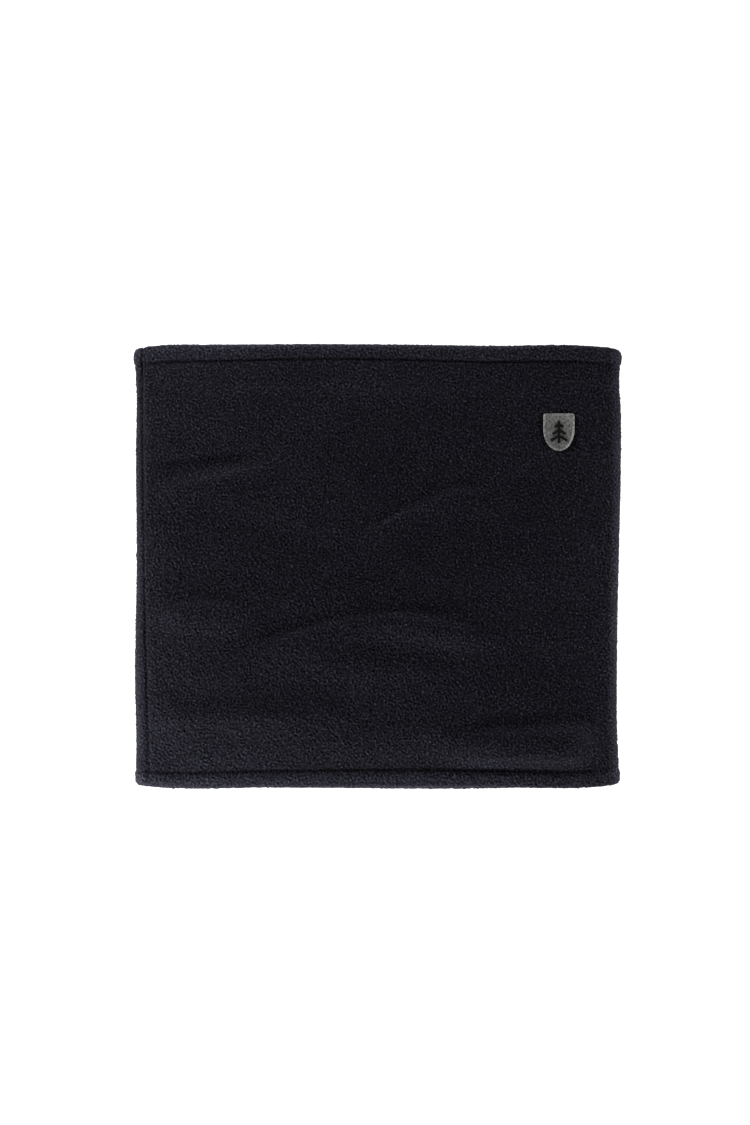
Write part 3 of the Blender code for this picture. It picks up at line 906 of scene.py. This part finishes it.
def chord(outline, x):
    """Lowest and highest y at which an outline crosses x, or None where it doesn't."""
    a, b = outline, np.roll(outline, -1, 0)
    hit = (a[:, 0] - x) * (b[:, 0] - x) < 0
    t = (x - a[hit, 0]) / (b[hit, 0] - a[hit, 0])
    y = a[hit, 1] + t * (b[hit, 1] - a[hit, 1])
    return (y.min(), y.max()) if len(y) > 1 else None


def make_badge_fill(material):
    """Rows of short stitches, each row's starts shifted from the last, over an underlay."""
    edge = badge_outline(BORDER * 0.75)
    random = np.random.default_rng(32)
    length, shortest, jitter = 2.6 * MM, 0.4 * MM, 0.25 * MM
    starts, ends = [], []
    half = BADGE_WIDTH / 2 - BORDER
    for index, x in enumerate(np.arange(-half, half, ROW_PITCH)):
        span = chord(edge, x)
        if span is None:
            continue
        low, high = span
        cuts = np.arange(low - length * ((index * 0.37) % 1.0), high, length)
        cuts = cuts + random.uniform(-jitter, jitter, len(cuts))
        cuts = np.clip(np.append(cuts, high), low, high)
        for a, b in zip(cuts[:-1], cuts[1:]):
            if b - a > shortest:
                starts.append((x, a))
                ends.append((x, b))
    rows = satin(np.array(starts), np.array(ends), FILL_LEVELS, seed=33)
    base_points, base_faces = slab(badge_outline(0.35 * MM), *UNDERLAY_LEVELS)
    piece = add_piece("badge_fill", *joined(rows, (badge_place(base_points), base_faces)), material)
    declare(piece, "badge_thread", "badge_fill_thread")


MOTIF_STROKE = 1.5 * MM
MOTIF_STEM = 6.2 * MM
MOTIF_BRANCHES = ((4.2, 2.6), (1.0, 3.8), (-2.2, 4.8))  # height and reach in millimetres
MOTIF_DROP = 0.55


def make_badge_motif(material):
    """A plain fir tree in satin stitch: a stem and three pairs of branches."""
    strokes = []
    for height, reach in MOTIF_BRANCHES:
        for side in (-1, 1):
            tip = (side * reach * MM, (height - reach * MOTIF_DROP) * MM)
            strokes.append(((side * 0.25 * MM, height * MM), tip))
    strokes.append(((0.0, -MOTIF_STEM), (0.0, MOTIF_STEM)))
    parts = []
    for index, (start, end) in enumerate(strokes):
        start, end = np.array(start), np.array(end)
        length = np.hypot(*(end - start))
        along = (end - start) / length
        across = np.array([-along[1], along[0]])
        at = np.arange(0.5, int(length / SATIN_PITCH)) * SATIN_PITCH
        middle = start + along * at[:, None]
        width = MOTIF_STROKE / 2 * np.minimum(1.0, 0.55 + (length - at) / (1.5 * MM))[:, None]
        ends = middle - across * width, middle + across * width
        parts.append(satin(*ends, MOTIF_LEVELS, seed=34 + index))
    piece = add_piece("badge_motif", *joined(*parts), material)
    declare(piece, "motif_thread", "badge_motif_thread")


def make_backing(material):
    """The rectangle of stabiliser behind the badge, inside the front."""
    width = BACKING_HIGH.x - BACKING_LOW.x
    height = BACKING_HIGH.y - BACKING_LOW.y
    cols, rows, thick = 28, 32, 0.3 * MM
    u, v = np.meshgrid(np.linspace(-0.5, 0.5, cols), np.linspace(-0.5, 0.5, rows))
    crinkle = 0.05 * MM * np.random.default_rng(41).standard_normal(u.shape)
    x, y = u * width + 0.1 * crinkle, v * height
    middle = badge_place(np.stack([x, y, crinkle - BACKING_DEPTH], -1))
    sheet = closed_sheet(middle + UP * thick / 2, middle - UP * thick / 2)
    piece = add_piece("badge_backing_sheet", *sheet, material)
    declare(piece, "backing", "badge_backing")


def make_badge_bobbin(material):
    """The back of the embroidery: rows of bobbin thread on the backing."""
    outline = badge_outline(0.3 * MM)
    pitch, radius = 0.5 * MM, 0.15 * MM
    starts, ends = [], []
    for x in np.arange(pitch - BADGE_WIDTH / 2, BADGE_WIDTH / 2 - 0.8 * pitch, pitch):
        span = chord(outline, x)
        if span is not None:
            starts.append((x, span[0]))
            ends.append((x, span[1]))
    starts, ends = np.array(starts), np.array(ends)
    share = np.linspace(0, 1, 12)
    flat = starts[:, None] + (ends - starts)[:, None] * share[None, :, None]
    sway = 0.06 * MM * np.random.default_rng(42).standard_normal(flat.shape)
    level = np.full((*flat.shape[:2], 1), -BOBBIN_DEPTH)
    rows = strands(badge_place(np.concatenate([flat + sway, level], -1)), UP, radius)
    piece = add_piece("badge_bobbin_rows", *rows, material)
    declare(piece, "motif_thread", "badge_bobbin_thread")


# Care label

def make_care_label(material):
    """A blank satin tape, folded double and sewn into the side seam, lying under the front."""
    root = LABEL_LOW.x
    length = LABEL_HIGH.x - LABEL_LOW.x
    thick, apart, sag = 0.17 * MM, 0.30 * MM, 0.35 * MM
    root_drop, root_reach = 2.3 * MM, 9 * MM
    steps, cols = 60, 20
    run = np.linspace(0, 1, steps)
    bend = np.linspace(0, math.pi, 9)[1:-1]
    share = np.concatenate([run, np.ones(len(bend)), run[::-1]])
    level = np.concatenate([np.full(steps, 0.5), 0.5 * np.cos(bend), np.full(steps, -0.5)])
    past = np.concatenate([np.zeros(steps), 0.5 * apart * np.sin(bend), np.zeros(steps)])
    y = LABEL_Y + np.linspace(-0.5, 0.5, cols) * LABEL_WIDTH
    x = (root + share * length + past)[:, None] + 0 * y[None, :]
    grid_y = y[None, :] + 0 * x
    under = front_height(x, grid_y) - PLY - 0.75 * MM
    middle = under - root_drop * (1 - ease((x - root) / root_reach))
    across = (grid_y - LABEL_Y) / LABEL_WIDTH
    curl = 0.3 * sag * (share[:, None] ** 2) * np.cos(2 * math.pi * across)
    z = middle + level[:, None] * apart + curl - sag * share[:, None]
    path = np.stack([x, grid_y, z], -1)
    along = unit(np.gradient(path, axis=0))
    normal = unit(np.cross(along, TOPWARD))
    sheet = closed_sheet(path - normal * thick / 2, path + normal * thick / 2)
    piece = add_piece("care_label_tape", *sheet, material)
    declare(piece, "label_satin", "care_label")


# Studio: low lights near the gaiter, each with its place, its size in metres and its power in watts

LIGHTS = (
    ("key", (-0.08, -0.28, 0.06), (0.36, 0.08), 1.65),
    ("left", (-0.29, -0.04, 0.06), (0.34, 0.08), 1.2),
    ("top", (-0.06, 0.27, 0.06), (0.36, 0.08), 1.1),
    ("right", (0.30, -0.02, 0.05), (0.30, 0.08), 1.1),
)
FLOOR_REACH = 15.0


def make_floor():
    material, _, shader = new_material("studio_floor", grey(0.35), 0.9)
    shader.inputs["Emission Color"].default_value = (1.0, 1.0, 1.0, 1.0)
    shader.inputs["Emission Strength"].default_value = 1.0
    signs = ((-1, -1), (1, -1), (1, 1), (-1, 1))
    corners = [(FLOOR_REACH * x, FLOOR_REACH * y, 0.0) for x, y in signs]
    floor = add_piece("studio_floor", corners, [[(0, 1, 2, 3)]], material, smooth=False)


def make_light(name, place, size, power):
    data = bpy.data.lights.new(name, "AREA")
    data.shape = "RECTANGLE"
    data.size, data.size_y = size
    data.energy = power
    light = bpy.data.objects.new(name, data)
    light.location = place
    light.rotation_euler = (-light.location).to_track_quat("-Z", "Y").to_euler()
    light.visible_camera = False
    bpy.context.scene.collection.objects.link(light)


def make_world():
    """A light tent: white round the horizon, dark overhead."""
    world = bpy.data.worlds.new("studio")
    world.use_nodes = True
    tree = world.node_tree
    background = tree.nodes["Background"]
    place = tree.nodes.new("ShaderNodeTexCoord").outputs["Generated"]
    split = tree.nodes.new("ShaderNodeSeparateXYZ")
    tree.links.new(place, split.inputs["Vector"])
    colour = ramp(tree, split.outputs["Z"], ((0.0, grey(1.0)), (0.14, grey(1.0)), (0.30, grey(0.05)),
                                             (1.0, grey(0.02))))
    tree.links.new(colour, background.inputs["Color"])
    background.inputs["Strength"].default_value = 1.0
    bpy.context.scene.world = world


def make_studio():
    make_floor()
    make_world()
    for light in LIGHTS:
        make_light(*light)
    bpy.context.scene.view_settings.view_transform = "Standard"


# Camera, straight above

VIEW_HEIGHT = 0.6278      # height of the view at the gaiter's level
VIEW_MIDDLE = (-1.3 * MM, 2.1 * MM)  # x and y that the camera looks down on
LENS = 100.0
SENSOR = 36.0


def make_camera():
    data = bpy.data.cameras.new("camera")
    data.lens = LENS
    data.sensor_width = SENSOR
    data.clip_start, data.clip_end = 0.05, 100.0
    camera = bpy.data.objects.new("camera", data)
    distance = VIEW_HEIGHT * LENS / SENSOR
    camera.location = (*VIEW_MIDDLE, PANEL_HIGH.z / 2 + distance)
    bpy.context.scene.collection.objects.link(camera)
    bpy.context.scene.camera = camera


def build():
    make_camera()
    make_studio()
    fleece = fleece_material()
    sewing = thread_material("sewing_thread", (0.010, 0.010, 0.012), 0.6, 0.3)
    badge = thread_material("badge_thread", (0.165, 0.165, 0.160), 0.5, 0.4)
    motif = thread_material("motif_thread", (0.005, 0.005, 0.005), 0.6, 0.06)
    make_fleece(fleece)
    make_seam_allowances(fleece)
    make_seam_threads(sewing)
    make_hem_stitches(sewing)
    make_badge_border(badge)
    make_badge_fill(badge)
    make_badge_motif(motif)
    make_backing(backing_material())
    make_badge_bobbin(motif)
    make_care_label(satin_material())


build()
